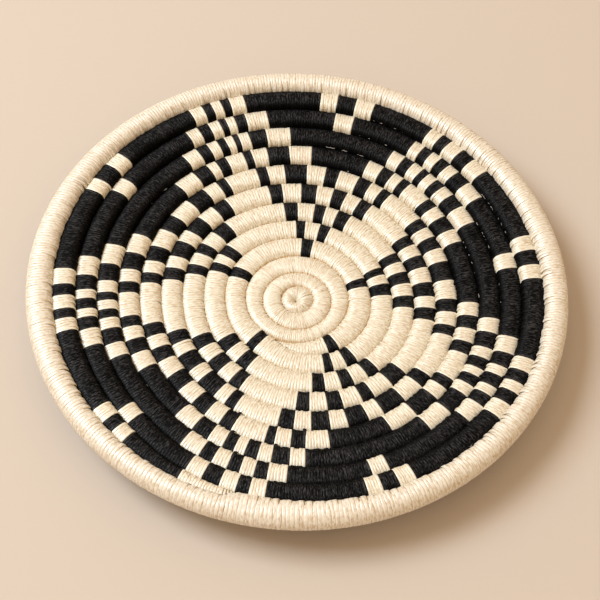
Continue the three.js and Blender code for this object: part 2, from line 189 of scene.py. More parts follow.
@dataclass(frozen=True)
class Handmade:
    """The coil's unevenness.

    The spread, the oval and the medallion off the middle are the solids' own. The waves, each so
    many round the basket with its reach and the angle it starts from, are drawn here only.
    """

    spread: float = 1.9 * MM
    knot_radius: float = 9.1 * MM
    reach: float = 2.2 * MM
    start_radius: float = 50.0 * MM
    full_radius: float = 100.0 * MM
    fade_radius: float = 120.0 * MM
    outer_radius: float = 152.5 * MM
    shift: float = 2.3 * MM
    shift_full_radius: float = 19.0 * MM
    shift_end_radius: float = 33.0 * MM
    waves: tuple[tuple[int, float, float], ...] = (
        (1, 0.65 * MM, 1.0), (2, 0.2 * MM, 27.0), (3, 0.7 * MM, -76.0), (4, 0.5 * MM, 19.0),
    )
    wave_start_radius: float = 28.9 * MM
    wave_full_radius: float = 45.0 * MM
    wave_fade_radius: float = 135.0 * MM

    def waved(self, radius: Array, turn: Array) -> Array:
        """How far the rows lie further in, because they wander.

        Args:
            radius: Plain radius, metres.
            turn: Angle round the basket, degrees.

        Returns:
            The distance, metres.
        """
        growing = smooth_step(ramp(radius, self.wave_start_radius, self.wave_full_radius))
        left = ramp(radius, self.outer_radius, self.wave_fade_radius)
        height = sum(
            reach * np.sin(np.radians(count * turn + start)) for count, reach, start in self.waves
        )
        return height * growing * np.clip(left, 0.0, 1.0)

    def shifted(self, radius: Array) -> Array:
        """How far the medallion's parts at a radius are moved towards -Y."""
        fading = smooth_step(ramp(radius, self.shift_full_radius, self.shift_end_radius))
        return self.shift * smooth_step(radius / self.shift_full_radius) * (1.0 - fading)

    def stretched(self, radius: Array, turn: Array) -> Array:
        """Radius with the unevenness added.

        Args:
            radius: Plain radius, metres.
            turn: Angle round the basket, degrees.

        Returns:
            The stretched radius, metres.
        """
        outwards = ramp(radius, self.knot_radius, self.outer_radius)
        spread = self.spread * np.sin(np.pi * np.clip(outwards, 0.0, 1.0))
        growing = smooth_step(ramp(radius, self.start_radius, self.full_radius))
        fading = ramp(radius, self.outer_radius, self.fade_radius)
        oval = self.reach * np.maximum(np.minimum(growing, fading), 0.0)
        sine = np.sin(np.radians(turn))
        wandered = self.shifted(radius) * sine + self.waved(radius, turn)
        return radius + spread + oval * sine**2 - wandered


@dataclass
class Coil:
    """A coil that steps out by one round in one stretch of every turn, as in the solids."""

    inner_radius: float
    rounds: int
    width: float
    height: float
    climb_start: float
    climb_sweep: float
    climb_lead: float
    seam: float
    tail_start: float = math.inf
    tail_sweep: float = 1.0
    row_gap: float = 0.45 * MM
    joint_band: float = 0.14
    tip_power: float = 0.7
    floor_clearance: float = 0.4 * MM
    most_rise: float = 0.6
    handmade: Handmade = field(default_factory=Handmade)

    def pitch(self) -> float:
        """Distance from one round to the next."""
        return self.width + self.row_gap

    def inside_line(self, turn: Array) -> Array:
        """Line between this turn and what lies inside it.

        Args:
            turn: Angles along the coil, degrees.

        Returns:
            The radius at each angle, metres.
        """
        radius = np.full(np.shape(turn), self.inner_radius)
        for number in range(self.rounds):
            start = self.climb_start + number * (FULL_TURN - self.climb_lead)
            radius = radius + self.pitch() * smooth_step((turn - start) / self.climb_sweep)
        return radius

    def outside_line(self, turn: Array) -> Array:
        """Radius of the line between this turn and what lies outside it."""
        fading = smooth_step((turn - self.tail_start) / self.tail_sweep)
        return self.inside_line(turn + FULL_TURN) * (1.0 - fading) + self.inside_line(turn) * fading

    def middle_height(self, radius: Array) -> Array:
        """Height of the coil's middle at a radius."""
        return np.full(np.shape(radius), self.height / 2 + self.floor_clearance)

    def rise_share(self, radius: Array) -> Array:
        """How far one round lies above the next, as a share of the coil's height."""
        half, middle = self.pitch() / 2, self.middle_height
        return (middle(radius + half) - middle(radius - half)) / self.height

    def widening(self, radius: Array) -> Array:
        """How much wider an upright oval must be to touch its neighbours on the slope."""
        return 1.0 / np.sqrt(1.0 - np.minimum(self.rise_share(radius), self.most_rise) ** 2)

    def joint_side(self, turn: Array, touching: float, squareness: float) -> Array:
        """How far down its side, from 0 at the top to 1, a loop comes near the round inside.

        Args:
            turn: Angles along the coil, degrees.
            touching: How far a loop runs into its neighbours, metres.
            squareness: Power of the loop's section.

        Returns:
            The share at each angle.
        """
        plain = (self.inside_line(turn) + self.outside_line(turn)) / 2
        met = self.width / (self.width + 2 * touching)
        height = (1.0 - met**squareness) ** (1.0 / squareness)
        start = np.clip(height - self.rise_share(plain) + self.joint_band, 0.0, 1.0)
        return np.sqrt(1.0 - start**squareness)

    def span(self) -> Array:
        """First and last angle at which the coil is wide enough for a loop of thread."""
        fine = np.arange(-FULL_TURN, FULL_TURN * (self.rounds + 1), SPAN_STEP)
        return fine[self.outside_line(fine) - self.inside_line(fine) > 2 * LEAST_LOOP][[0, -1]]

    def path(self, turn: Array) -> tuple[Array, Array, Array]:
        """Middle line and size of the coil.

        Args:
            turn: Angles along the coil, degrees.

        Returns:
            The middle points, half widths and half heights, metres.
        """
        inside, outside = self.inside_line(turn), self.outside_line(turn)
        share = np.clip((outside - inside) / self.width, 0.0, 1.0)
        plain = (inside + outside) / 2
        inner = self.handmade.stretched(inside, turn)
        outer = self.handmade.stretched(outside, turn)
        radius, half_width = (inner + outer) / 2, (outer - inner) / 2 * self.widening(plain)
        half_height = self.height / 2 * share**self.tip_power
        middle = self.middle_height(plain)
        top, bottom = middle + half_height, np.maximum(middle - half_height, 0.0)
        return on_circle(radius, turn, (top + bottom) / 2), half_width, (top - bottom) / 2

    def wrap_angles(self, thread_width: float, edges: Array) -> tuple[Array, Array]:
        """Places of the loops: a whole number of equal ones in each stretch of one thread.

        Args:
            thread_width: Wanted width of a loop, metres.
            edges: Angles along the coil at which the thread changes, in order.

        Returns:
            The angle of each loop, degrees, and its width, metres.
        """
        first, last = self.span()
        fine = np.arange(first, last, PATH_STEP)
        steps = np.linalg.norm(np.diff(self.path(fine)[0], axis=0), axis=1)
        along = np.concatenate([[0.0], np.cumsum(steps)])
        bounds = np.interp(np.concatenate([[first], edges, [last]]), fine, along)
        places, widths = [], []
        for start, end in zip(bounds[:-1], bounds[1:]):
            count = max(1, round((end - start) / thread_width))
            places.append(start + (np.arange(count) + 0.5) * (end - start) / count)
            widths.append(np.full(count, (end - start) / count))
        return np.interp(np.concatenate(places), along, fine), np.concatenate(widths)

    def round_of(self, turn: Array) -> Array:
        """Number of the round, 1 for the innermost, that each angle belongs to."""
        number = np.floor((turn - self.seam) / FULL_TURN).astype(int) + 2
        return np.clip(number, 1, self.rounds)


@dataclass
class MainCoil(Coil):
    """The nine rounds that form the dish."""

    inner_radius: float = 28.925 * MM
    rounds: int = 9
    width: float = 11.7 * MM
    height: float = 11.7 * MM
    climb_start: float = 230.0
    climb_sweep: float = 80.0
    climb_lead: float = 2.0
    seam: float = 240.0
    tail_start: float = 8 * FULL_TURN + 256.0
    tail_sweep: float = 5.0
    floor_height: float = 4.68 * MM
    flat_radius: float = 41.075 * MM
    last_radius: float = 132.2 * MM
    rise: float = 18.3 * MM
    curve: float = 1.65

    def middle_height(self, radius: Array) -> Array:
        """Height of the dish at a radius: flat in the middle, then curving up."""
        along = np.maximum(ramp(radius, self.flat_radius, self.last_radius), 0.0)
        return self.floor_height + self.rise * along**self.curve


@dataclass
class MedallionCoil(Coil):
    """The two thin rounds in the middle."""

    inner_radius: float = 9.325 * MM
    rounds: int = 2
    width: float = 9.35 * MM
    height: float = 9.4 * MM
    climb_start: float = 285.0
    climb_sweep: float = 60.0
    climb_lead: float = 0.0
    seam: float = 300.0
    tip_power: float = 0.3


@dataclass
class MedallionRound(MedallionCoil):
    """One of the two thin rounds, drawn closed because the photograph shows no step in it."""

    rounds: int = 0

    def outside_line(self, turn: Array) -> Array:
        """Radius of the line between this round and what lies outside it."""
        return self.inside_line(turn) + self.pitch()

    def span(self) -> Array:
        """The whole turn."""
        return np.array([0.0, FULL_TURN])


def yaw_along(points: Array) -> Array:
    """Turn about +Z that brings a loop's own Y axis onto the path through its points."""
    step = np.gradient(points, axis=0)
    return np.arctan2(step[:, 1], step[:, 0]) - math.pi / 2


@dataclass(frozen=True)
class Winding:
    """How thread is wound round a coil: its width, its stitches and its unevenness.

    Each range is the least and the most of a number that is drawn for every loop.
    """

    thread_width: float = 1.6 * MM
    touching: float = 0.5 * MM
    relief_share: float = 0.035
    stitch_every: int = 2
    stitch_reach: float = 0.5 * MM
    long_reach: float = 1.3 * MM
    end_swell: float = 0.01
    size_noise: float = 0.009
    slow_noise: float = 0.12 * MM
    slow_rates: tuple[float, ...] = (3.1, 7.7, 13.3, 29.0)
    most_phase: float = 6.28
    shade_noise: float = 0.0
    reach_range: tuple[float, float] = (0.3, 1.1)
    overlap_range: tuple[float, float] = (1.3, 1.38)
    hole_range: tuple[float, float] = (0.3, 1.0)
    seed: int = 11

    def loops(self, coil: Coil, turn: Array, width: Array, black: Array,
              long_stitches: Array) -> Loops:
        """Loops of thread at the given angles of a coil.

        Args:
            coil: The coil that the thread goes round.
            turn: Angles along the coil, degrees.
            width: Width of the loop at each angle, metres.
            black: Whether the thread is black at each angle.
            long_stitches: Angles at which one loop reaches further inwards.

        Returns:
            The loops, some of which reach over the round inside.
        """
        rng = np.random.default_rng(self.seed)
        points, half_width, half_height = coil.path(turn)
        yaw = yaw_along(points)
        count = len(turn)
        phases = rng.uniform(0, self.most_phase, len(self.slow_rates))
        waves = sum(
            np.sin(np.radians(turn) * rate + phase) for rate, phase in zip(self.slow_rates, phases)
        )
        outward = np.stack([np.cos(yaw), np.sin(yaw), np.zeros(count)], axis=-1)
        points = points + outward * (self.slow_noise * waves / len(self.slow_rates))[:, None]
        at_end = (black != np.roll(black, 1)) | (black != np.roll(black, -1))
        size = 1.0 + rng.uniform(-1.0, 1.0, count) * self.size_noise + self.end_swell * at_end
        base = 1.0 - self.relief_share
        wide = (half_width + self.touching) * base * size
        high = half_height * base * size
        is_stitch = (np.arange(count) + rng.integers(0, 2, count)) % self.stitch_every == 0
        reach = np.where(is_stitch, self.stitch_reach * rng.uniform(*self.reach_range, count), 0.0)
        for angle in long_stitches:
            reach[np.argmin(np.where(black, np.abs(turn - angle), FULL_TURN))] = self.long_reach
        reach = reach * np.clip(half_width / coil.width * 2, 0, 1)
        points = points - outward * (reach / 2)[:, None]
        length = width * rng.uniform(*self.overlap_range, count)
        hole = rng.uniform(*self.hole_range, count)
        # Painted highlight on the cords at both ends of a stretch, plus tone that differs at
        # random.
        bright = at_end + rng.normal(0.0, self.shade_noise, count)
        joint = coil.joint_side(turn, self.touching, ThreadLoop.squareness)
        return Loops(points, yaw, wide + reach / 2, high, length, hole, bright, joint)


class Nodes:
    """A small helper that adds nodes to a tree and links them."""

    def __init__(self, tree: NodeTree) -> None:
        """Keep the tree that nodes are added to."""
        self.tree = tree

    def add(self, kind: str, settings: dict | None = None, **values: object) -> Node:
        """Add a node.

        Args:
            kind: Blender's name for the node.
            settings: Properties of the node itself.
            values: What the feed method takes, by input name, with _ for a space.

        Returns:
            The new node.
        """
        node = self.tree.nodes.new(kind)
        for name, value in (settings or {}).items():
            setattr(node, name, value)
        in_use = {socket.name.lower(): socket for socket in reversed(node.inputs) if socket.enabled}
        for name, value in values.items():
            self.feed(in_use[name.replace("_", " ").lower()], value)
        return node

    def feed(self, target: NodeSocket, value: object) -> None:
        """Link a socket to the target, or set the target's own value.

        Args:
            target: Input of a node.
            value: A socket, a node that gives one, a plain value, or a colour.
        """
        if isinstance(value, Node):
            value = next(output for output in value.outputs if output.enabled)
        if isinstance(value, NodeSocket):
            self.tree.links.new(value, target)
        else:
            target.default_value = (*value, 1.0) if target.type == "RGBA" else value

    def in_order(self, kind: str, settings: dict, *terms: object) -> Node:
        """Add a node whose inputs are fed in their order.

        Args:
            kind: Blender's name for the node.
            settings: Properties of the node itself.
            terms: What the feed method takes, for each input that is in use.

        Returns:
            The new node.
        """
        node = self.add(kind, settings)
        for target, term in zip([s for s in node.inputs if s.enabled], terms):
            self.feed(target, term)
        return node

    def math(self, operation: str, *terms: object) -> Node:
        """One step of arithmetic, by Blender's name for it, on sockets or numbers."""
        return self.in_order("ShaderNodeMath", {"operation": operation}, *terms)

    def mixed(self, share: object, first: object, second: object) -> Node:
        """Blend of two colours, with a share of the second."""
        settings = {"data_type": "RGBA", "clamp_factor": True}
        return self.in_order("ShaderNodeMix", settings, share, first, second)

    def eased(self, value: object, start: object, end: object, low: float = 0.0,
              high: float = 1.0) -> Node:
        """Ease from low to high as the value goes from start to end."""
        return self.add("ShaderNodeMapRange", {"interpolation_type": "SMOOTHSTEP"}, Value=value,
                        From_Min=start, From_Max=end, To_Min=low, To_Max=high)


def new_finish(name: str) -> tuple[Material, Nodes, Node]:
    """Start a node material.

    Args:
        name: Name of the material.

    Returns:
        The material, its nodes and its shader.
    """
    material = bpy.data.materials.new(name)
    material.use_nodes = True
    return material, Nodes(material.node_tree), material.node_tree.nodes["Principled BSDF"]


@dataclass(frozen=True)
class ThreadLoop:
    """One closed loop of thread, radius 1 and 1 long, that every wound piece repeats.

    Its section is a low ridge, with its base towards the bundle. The wedge makes it wider on the
    outer side of the round and narrower on the inner side.
    """

    sides: int = 18
    crest: float = 0.22
    relief: float = 0.036
    grain: float = 0.75
    wedge: float = 0.0
    squareness: float = 2.8

    def build(self) -> Object:
        """Make the loop.

        Returns:
            The loop, whose points know how near they are to a row joint and to the crest.
        """
        ridge = ((-0.5, 0.0), (-self.crest, 1.0), (self.crest, 1.0), (0.5, 0.0))
        points, faces, side_share, crest_share, strand = [], [], [], [], []
        for step in range(self.sides):
            angle = 2 * math.pi * step / self.sides
            widened = 1.0 + self.wedge * math.cos(angle)
            across, upward = (
                math.copysign(abs(part) ** (2 / self.squareness), part)
                for part in (math.cos(angle), math.sin(angle))
            )
            for along, lift in ridge:
                radius = 1.0 + self.relief * lift
                points.append((radius * across, along * widened, radius * upward))
                side_share.append(abs(math.cos(angle)))
                crest_share.append(lift)
                strand += [self.grain * math.cos(angle), along, self.grain * math.sin(angle)]
        count = len(ridge)
        for step in range(self.sides):
            after = (step + 1) % self.sides
            for corner in range(count):
                other = (corner + 1) % count
                faces.append((step * count + other, after * count + other,
                              after * count + corner, step * count + corner))
        mesh = bpy.data.meshes.new("thread_loop")
        mesh.from_pydata(points, [], faces)
        store(mesh, "side", side_share)
        store(mesh, "crest", crest_share)
        mesh.attributes.new("strand", "FLOAT_VECTOR", "POINT").data.foreach_set("vector", strand)
        return linked("thread_loop", mesh)


class PieceTree:
    """A Geometry Nodes tree that makes a piece from the points of a mesh."""

    def __init__(self, name: str, inputs: dict[str, str]) -> None:
        """Start the tree.

        Args:
            name: Name of the tree.
            inputs: Kind of each named input, the mesh first.
        """
        self.nodes = Nodes(bpy.data.node_groups.new(name, "GeometryNodeTree"))
        sockets = self.nodes.tree.interface
        sockets.new_socket("Geometry", in_out="OUTPUT", socket_type=SOCKET + "Geometry")
        self.identifiers = {
            label: sockets.new_socket(label, in_out="INPUT", socket_type=SOCKET + kind).identifier
            for label, kind in inputs.items()
        }
        self.given = self.nodes.tree.nodes.new("NodeGroupInput").outputs

    def end_with(self, geometry: Node) -> None:
        """Give the shape its finish and hand it out."""
        finished = self.nodes.add("GeometryNodeSetMaterial", Geometry=geometry,
                                  Material=self.given["Finish"])
        self.nodes.add("NodeGroupOutput", Geometry=finished)

    def made(self, name: str, points: Array, edges: list[tuple[int, int]],
             numbers: dict[str, Array], values: dict[str, object]) -> Object:
        """Run the tree on points.

        Args:
            name: Name of the piece.
            points: Places of the points, metres.
            edges: Pairs of points that are joined.
            numbers: One number for each point, by name.
            values: The other inputs by name.

        Returns:
            The piece as a plain mesh, with no modifier left on it.
        """
        mesh = bpy.data.meshes.new(name)
        mesh.from_pydata([tuple(point) for point in points], edges, [])
        for label, column in numbers.items():
            store(mesh, label, column)
        piece = linked(name, mesh)
        modifier = piece.modifiers.new(name, "NODES")
        modifier.node_group = self.nodes.tree
        for label, value in values.items():
            modifier[self.identifiers[label]] = value
        graph = bpy.context.evaluated_depsgraph_get()
        plain = bpy.data.meshes.new_from_object(
            piece.evaluated_get(graph), preserve_all_data_layers=True, depsgraph=graph
        )
        piece.modifiers.clear()
        piece.data = plain
        return piece


class WindingTree(PieceTree):
    """Geometry Nodes that set a thread loop on every point and turn it across the path."""

    LENGTH_VARIATION = 0.04

    def __init__(self) -> None:
        """Build the tree."""
        super().__init__("wound_thread", {
            "Points": "Geometry", "Thread Loop": "Object", "Lean": "Float",
            "Lean Variation": "Float", "Length Variation": "Float", "Seed": "Int",
            "Finish": "Material",
        })
        nodes, given = self.nodes, self.given
        stored = {
            label: nodes.add("GeometryNodeInputNamedAttribute", Name=label)
            for label in ("yaw", "half_width", "half_height", "length")
        }
        lean_draw, length_draw, shade_draw = (self.random(number) for number in (0.0, 1.0, 2.0))
        leaned = nodes.math("MULTIPLY_ADD", lean_draw, given["Lean Variation"], given["Lean"])
        turned = nodes.math("ADD", stored["yaw"], leaned)
        longer = nodes.math("MULTIPLY_ADD", length_draw, given["Length Variation"], 1.0)
        length = nodes.math("MULTIPLY", stored["length"], longer)
        euler = nodes.add("ShaderNodeCombineXYZ", Z=turned)
        rotation = nodes.add("FunctionNodeEulerToRotation", Euler=euler)
        scale = nodes.add("ShaderNodeCombineXYZ", X=stored["half_width"], Y=length,
                          Z=stored["half_height"])
        loop = nodes.add("GeometryNodeObjectInfo", Object=given["Thread Loop"], As_Instance=True)
        placed = nodes.add("GeometryNodeInstanceOnPoints", Points=given["Points"],
                           Instance=loop.outputs["Geometry"], Rotation=rotation, Scale=scale)
        shaded = nodes.add("GeometryNodeStoreNamedAttribute",
                           {"data_type": "FLOAT", "domain": "INSTANCE"},
                           Geometry=placed, Name="shade", Value=shade_draw)
        real = nodes.add("GeometryNodeRealizeInstances", Geometry=shaded)
        self.end_with(nodes.add("GeometryNodeSetShadeSmooth", Geometry=real))

    def random(self, number: float) -> Node:
        """A draw from -1 to 1 for each loop, where each number gives draws of its own."""
        seed = self.nodes.math("ADD", self.given["Seed"], number)
        return self.nodes.add("FunctionNodeRandomValue", {"data_type": "FLOAT"},
                              Min=-1.0, Max=1.0, Seed=seed)

    def wind(self, name: str, loops: Loops, shape: ThreadLoop, finish: Material, lean: float,
             seed: int, unevenness: float = math.radians(0.45)) -> Object:
        """Make one wound piece.

        Args:
            name: Name of the piece.
            loops: Where its loops of thread go.
            shape: Form of the loop that is repeated.
            finish: Material of the thread.
            lean: How far a loop leans along the path, radians.
            seed: Fixed seed of its small differences.
            unevenness: How much the lean differs from loop to loop, radians.

        Returns:
            The piece.
        """
        numbers = {key: value for key, value in vars(loops).items() if key != "centres"}
        loop = shape.build()
        piece = self.made(name, loops.centres, [], numbers, {
            "Thread Loop": loop, "Lean": lean, "Lean Variation": unevenness,
            "Length Variation": self.LENGTH_VARIATION, "Seed": seed, "Finish": finish,
        })
        bpy.data.objects.remove(loop)
        return piece


class BundleTree(PieceTree):
    """Geometry Nodes that sweep a round bundle of grass along a path."""

    SIDES = 8

    def __init__(self) -> None:
        """Build the tree."""
        super().__init__("grass_bundle", {
            "Path": "Geometry", "Sides": "Int", "Finish": "Material",
        })
        nodes, given = self.nodes, self.given
        line = nodes.add("GeometryNodeMeshToCurve", Mesh=given["Path"])
        radius = nodes.add("GeometryNodeInputNamedAttribute", Name="radius")
        ring = nodes.add("GeometryNodeCurvePrimitiveCircle", Resolution=given["Sides"], Radius=1.0)
        swept = nodes.add("GeometryNodeCurveToMesh", Curve=line, Profile_Curve=ring,
                          Scale=radius, Fill_Caps=True)
        self.end_with(nodes.add("GeometryNodeRealizeInstances", Geometry=swept))

    def sweep(self, name: str, points: Array, radius: Array, closed: bool,
              finish: Material) -> Object:
        """Make one bundle.

        Args:
            name: Name of the piece.
            points: Middle line, metres.
            radius: Radius at each point, metres.
            closed: Whether the line is a ring.
            finish: Material of the grass.

        Returns:
            The piece.
        """
        count = len(points)
        edges = [(index, index + 1) for index in range(count - 1)]
        if closed:
            edges.append((count - 1, 0))
        values = {"Sides": self.SIDES, "Finish": finish}
        return self.made(name, points, edges, {"radius": radius}, values)


@dataclass(frozen=True)
class ThreadFinish:
    """Finish of a wound thread: satin crests, warm painted shade in the grooves and fine fibres.

    Its tone goes from body to a pale colour that is partly the fibres' own and partly painted
    sheen. Each share is how far one source moves the tone, or how much of a colour is laid over it.
    """

    name: str
    body: Colour
    light: Colour
    groove: Colour
    joint: Colour
    specular: float
    roughness: float = 0.5
    silkiness: float = 0.15
    contrast: float = 0.5
    streak_share: float = 4.5
    strand_scale: float = 4.0
    strand_spacing: float = 47.0
    patch_share: float = 0.7
    patch_scale: float = 130.0
    fibre_share: float = 0.5
    fibre_scale: float = 2600.0
    fibre_bump: float = 0.35
    fibre_depth: float = 0.1 * MM
    shade_share: float = 0.1
    bright_share: float = 0.3
    groove_share: float = 0.55
    joint_share: float = 0.5
    joint_groove_share: float = 1.8
    joint_blend: float = 0.04
    side_shade: float = 0.0
    side_start: float = 0.2
    side_end: float = 0.85

    def build(self) -> Material:
        """Make the node material, which reads the thread's own attributes.

        Returns:
            The material.
        """
        material, nodes, shader = new_finish(self.name)
        material.diffuse_color = (*self.body, 1.0)
        shader.inputs["Specular IOR Level"].default_value = self.specular
        place = nodes.add("ShaderNodeTexCoord").outputs["Object"]
        fibres = nodes.add("ShaderNodeTexNoise", Vector=place, Scale=self.fibre_scale, Detail=3.0)
        patches = nodes.add("ShaderNodeTexNoise", Vector=place, Scale=self.patch_scale, Detail=2.0)
        read = {
            label: nodes.add("ShaderNodeAttribute", {"attribute_name": label}).outputs["Fac"]
            for label in ("shade", "side", "crest", "hole", "bright", "joint")
        }
        strand = nodes.add("ShaderNodeAttribute", {"attribute_name": "strand"}).outputs["Vector"]
        apart = nodes.math("MULTIPLY", read["shade"], self.strand_spacing)
        own = nodes.add("ShaderNodeCombineXYZ", Y=apart)
        shifted = nodes.in_order("ShaderNodeVectorMath", {"operation": "ADD"}, strand, own)
        # Streaks round each loop: partly the fibres' own tone, partly painted sheen strokes.
        sheen_streaks = nodes.add("ShaderNodeTexNoise", Vector=shifted, Scale=self.strand_scale,
                            Detail=2.0)
        tone = nodes.math("MULTIPLY_ADD", read["shade"], self.shade_share, 0.5)
        # Painted highlight on the end cords of a stretch, and tone that differs at random per loop.
        tone = nodes.math("MULTIPLY_ADD", read["bright"], self.bright_share, tone)
        for noise, share in ((patches, self.patch_share), (fibres, self.fibre_share),
                             (sheen_streaks, self.streak_share)):
            off = nodes.math("SUBTRACT", noise, 0.5)
            tone = nodes.math("MULTIPLY_ADD", off, share, tone)
        tone = nodes.math("MAXIMUM", nodes.math("MINIMUM", tone, 1.0), 0.0)
        tone = nodes.math("POWER", tone, self.contrast)
        # Painted shade: the black thread is drawn darker from its crest towards the row joints.
        if self.side_shade:
            lit = nodes.eased(read["side"], self.side_start, self.side_end, 1.0,
                              1.0 - self.side_shade)
            tone = nodes.math("MULTIPLY", tone, lit)
        dull = nodes.math("MULTIPLY_ADD", tone, -self.silkiness, self.roughness)
        nodes.feed(shader.inputs["Roughness"], nodes.math("ADD", dull, self.silkiness / 2))
        shade_dip = nodes.math("SUBTRACT", 1.0, read["crest"])
        # Body to pale colour by tone; the pale colour is partly the fibres' own and partly painted
        # sheen.
        colour = nodes.mixed(tone, self.body, self.light)
        # Painted shade: the valleys between loops are darkened towards the groove colour.
        colour = nodes.mixed(nodes.math("MULTIPLY", shade_dip, self.groove_share), colour, self.groove)
        # Dark dotted stitch holes along the row joints, with painted shade laid over them where the
        # valley is deepest.
        joint_end = nodes.math("ADD", read["joint"], self.joint_blend)
        near_joint = nodes.eased(read["side"], read["joint"], joint_end)
        amount = nodes.math("MULTIPLY_ADD", shade_dip, self.joint_groove_share, self.joint_share)
        amount = nodes.math("MULTIPLY", read["hole"], amount)
        colour = nodes.mixed(nodes.math("MULTIPLY", near_joint, amount), colour, self.joint)
        nodes.feed(shader.inputs["Base Color"], colour)
        bump = nodes.add("ShaderNodeBump", Height=fibres, Strength=self.fibre_bump,
                         Distance=self.fibre_depth)
        nodes.feed(shader.inputs["Normal"], bump)
        return material


@dataclass(frozen=True)
class StrawFinish:
    """Finish of dry stems or fibres in two tones."""

    name: str
    pale: Colour
    dark: Colour
    roughness: float = 0.8
    stem_scale: float = 900.0

    def build(self) -> Material:
        """Make the node material.

        Returns:
            The material.
        """
        material, nodes, shader = new_finish(self.name)
        shader.inputs["Roughness"].default_value = self.roughness
        place = nodes.add("ShaderNodeTexCoord").outputs["Object"]
        stems = nodes.add("ShaderNodeTexNoise", Vector=place, Scale=self.stem_scale)
        nodes.feed(shader.inputs["Base Color"], nodes.mixed(stems, self.pale, self.dark))
        return material


# Each thread's pale colour is partly painted sheen, bluish on the black; its groove colour is
# painted shade.
FINISHES = (
    ThreadFinish(
        name="cream_thread", body=(0.605, 0.48, 0.33), light=(0.822, 0.797, 0.688),
        groove=(0.74, 0.59, 0.37), joint=(0.58, 0.33, 0.09), specular=0.75, streak_share=6.075,
    ),
    ThreadFinish(
        name="black_thread", body=(0.0006, 0.0005, 0.0004), light=(0.046, 0.0455, 0.0495),
        groove=(0.001, 0.001, 0.001), joint=(0.001, 0.001, 0.001), specular=0.04,
        roughness=0.46, strand_scale=6.0, contrast=3.6, side_shade=0.9,
    ),
    ThreadFinish(
        name="rim_thread", body=(0.615, 0.498, 0.353), light=(0.832, 0.80, 0.725),
        groove=(0.71, 0.56, 0.37), joint=(0.58, 0.33, 0.09), specular=0.75,
    ),
    StrawFinish("grass_bundle", pale=(0.62, 0.45, 0.2), dark=(0.4, 0.25, 0.09)),
    StrawFinish("loose_thread", pale=(0.5, 0.49, 0.47), dark=(0.28, 0.27, 0.26)),
)


@dataclass
class Workshop:
    """What every sub-assembly is made with: the trees and the finishes."""

    winding: WindingTree = field(default_factory=WindingTree)
    bundles: BundleTree = field(default_factory=BundleTree)
    finishes: dict[str, Material] = field(
        default_factory=lambda: {finish.name: finish.build() for finish in FINISHES}
    )
    row_lean: float = math.radians(2.0)
    bundle_share: float = 0.7
    least_bundle: float = 0.8 * MM

    def wind_round(self, name: str, loops: Loops, thread: Thread, node: str, seed: int) -> None:
        """Make a wound piece of one round.

        Args:
            name: Name of the piece.
            loops: Where its loops of thread go.
            thread: The thread that they are made of.
            node: CAD node that the piece stands for.
            seed: Fixed seed of its small differences.
        """
        radius = np.linalg.norm(loops.centres[:, :2], axis=1)
        shape = ThreadLoop(wedge=float(np.mean(loops.half_width / radius)))
        slot = f"{thread.value}_thread"
        piece = self.winding.wind(name, loops, shape, self.finishes[slot], self.row_lean, seed)
        self.hand_over(piece, slot, node)

    def fill(self, name: str, node: str, coil: Coil, step: float) -> None:
        """Sweep the grass inside a coil.

        Args:
            name: Name of the piece.
            node: CAD node that the piece stands for.
            coil: The coil that the bundle fills.
            step: Degrees between two points of the sweep.
        """
        points, half_width, half_height = coil.path(np.arange(*coil.span(), step))
        radius = np.minimum(half_width, half_height) * self.bundle_share
        keep = radius > self.least_bundle
        grass = self.finishes["grass_bundle"]
        piece = self.bundles.sweep(name, points[keep], radius[keep], False, grass)
        self.hand_over(piece, "grass_bundle", node)

    def hand_over(self, piece: Object, slot: str, *nodes: str) -> None:
        """Have a finished piece ride on the body and stand for its CAD nodes.

        Args:
            piece: The piece.
            slot: Not used.
            nodes: CAD nodes, none for a piece that is only seen.
        """
        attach(piece, BODY)
        if nodes:
            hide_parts(*nodes)
        log.info("%s: %d faces", piece.name, len(piece.data.polygons))


@dataclass
class SubAssembly:
    """A part of the basket, with the workshop that it is made in."""

    shop: Workshop


